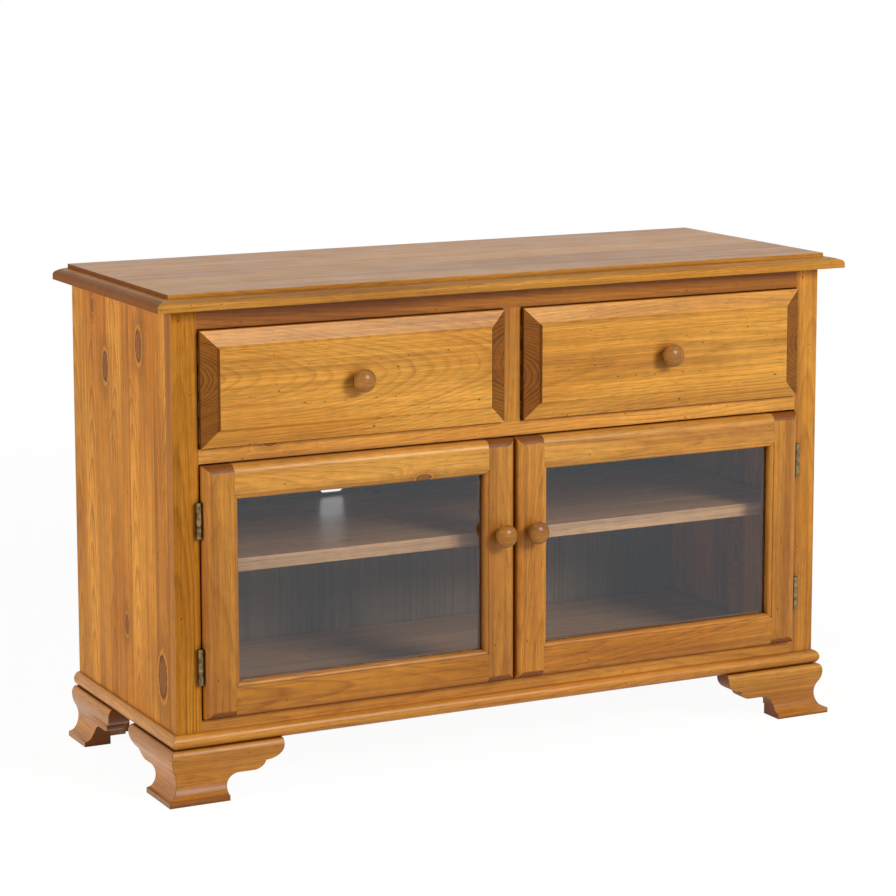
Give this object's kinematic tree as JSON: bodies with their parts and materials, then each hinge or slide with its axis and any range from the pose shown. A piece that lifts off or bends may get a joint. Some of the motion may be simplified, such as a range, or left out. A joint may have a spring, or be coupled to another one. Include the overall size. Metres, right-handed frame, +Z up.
{
  "type": "tv stand",
  "caption": "Low pine media cabinet on scrolled bracket feet, with sliding drawers above hinged glazed doors and a shelf inside.",
  "frame": {"origin": "middle of the overall box on the floor", "axes": "+X to the right along the width, +Y to the back, +Z up"},
  "size_m": [1.056, 0.4194, 0.6805],
  "materials": {
    "stained_pine": "satin lacquer over honey stain",
    "panel_pine": "thin stained panel",
    "raw_pine": "unstained planed pine",
    "glass": "clear float glass",
    "brass": "antique brass",
    "catch_steel": "plain"
  },
  "bodies": {
    "carcass": {"back_panel": "panel_pine", "base_moulding_front": "stained_pine", "base_moulding_left": "stained_pine", "base_moulding_right": "stained_pine", "bottom_front_rail": "stained_pine", "door_catches": "catch_steel", "drawer_deck": "stained_pine", "drawer_guides": "raw_pine", "drawer_muntin": "stained_pine", "drawer_stops": "raw_pine", "floor_board": "stained_pine", "foot_corner_blocks": "raw_pine", "front_left_foot_face": "stained_pine", "front_left_foot_side": "stained_pine", "front_right_foot_face": "stained_pine", "front_right_foot_side": "stained_pine", "hinge_frame_leaves": "brass", "hinge_pins": "brass", "left_front_stile": "stained_pine", "left_side_panel": "stained_pine", "middle_front_rail": "stained_pine", "rear_left_foot_back": "stained_pine", "rear_left_foot_side": "stained_pine", "rear_right_foot_back": "stained_pine", "rear_right_foot_side": "stained_pine", "right_front_stile": "stained_pine", "right_side_panel": "stained_pine", "shelf": "stained_pine", "shelf_pegs": "raw_pine", "top_board": "stained_pine", "top_cleats": "raw_pine", "top_front_rail": "stained_pine"},
    "left_door": {"left_door_bottom_rail": "stained_pine", "left_door_glass": "glass", "left_door_glazing_beads": "stained_pine", "left_door_hinge_leaves": "brass", "left_door_hinge_stile": "stained_pine", "left_door_knob": "stained_pine", "left_door_lock_stile": "stained_pine", "left_door_strike_plate": "catch_steel", "left_door_top_rail": "stained_pine"},
    "right_door": {"right_door_bottom_rail": "stained_pine", "right_door_glass": "glass", "right_door_glazing_beads": "stained_pine", "right_door_hinge_leaves": "brass", "right_door_hinge_stile": "stained_pine", "right_door_knob": "stained_pine", "right_door_lock_stile": "stained_pine", "right_door_strike_plate": "catch_steel", "right_door_top_rail": "stained_pine"},
    "left_drawer": {"left_drawer_back": "raw_pine", "left_drawer_bottom": "panel_pine", "left_drawer_front": "stained_pine", "left_drawer_knob": "stained_pine", "left_drawer_sides": "raw_pine"},
    "right_drawer": {"right_drawer_back": "raw_pine", "right_drawer_bottom": "panel_pine", "right_drawer_front": "stained_pine", "right_drawer_knob": "stained_pine", "right_drawer_sides": "raw_pine"}
  },
  "joints": [
    {"name": "left_door_hinge", "type": "hinge", "parent": "carcass", "child": "left_door", "pos_m": [-0.4664, -0.16975, 0.2815], "axis": [0, 0, -1], "range_deg": [0, 140]},
    {"name": "right_door_hinge", "type": "hinge", "parent": "carcass", "child": "right_door", "pos_m": [0.4664, -0.16975, 0.2815], "axis": [0, 0, 1], "range_deg": [0, 140]},
    {"name": "left_drawer_slide", "type": "slide", "parent": "carcass", "child": "left_drawer", "axis": [0, -1, 0], "range_m": [0, 0.26]},
    {"name": "right_drawer_slide", "type": "slide", "parent": "carcass", "child": "right_drawer", "axis": [0, -1, 0], "range_m": [0, 0.26]}
  ]
}
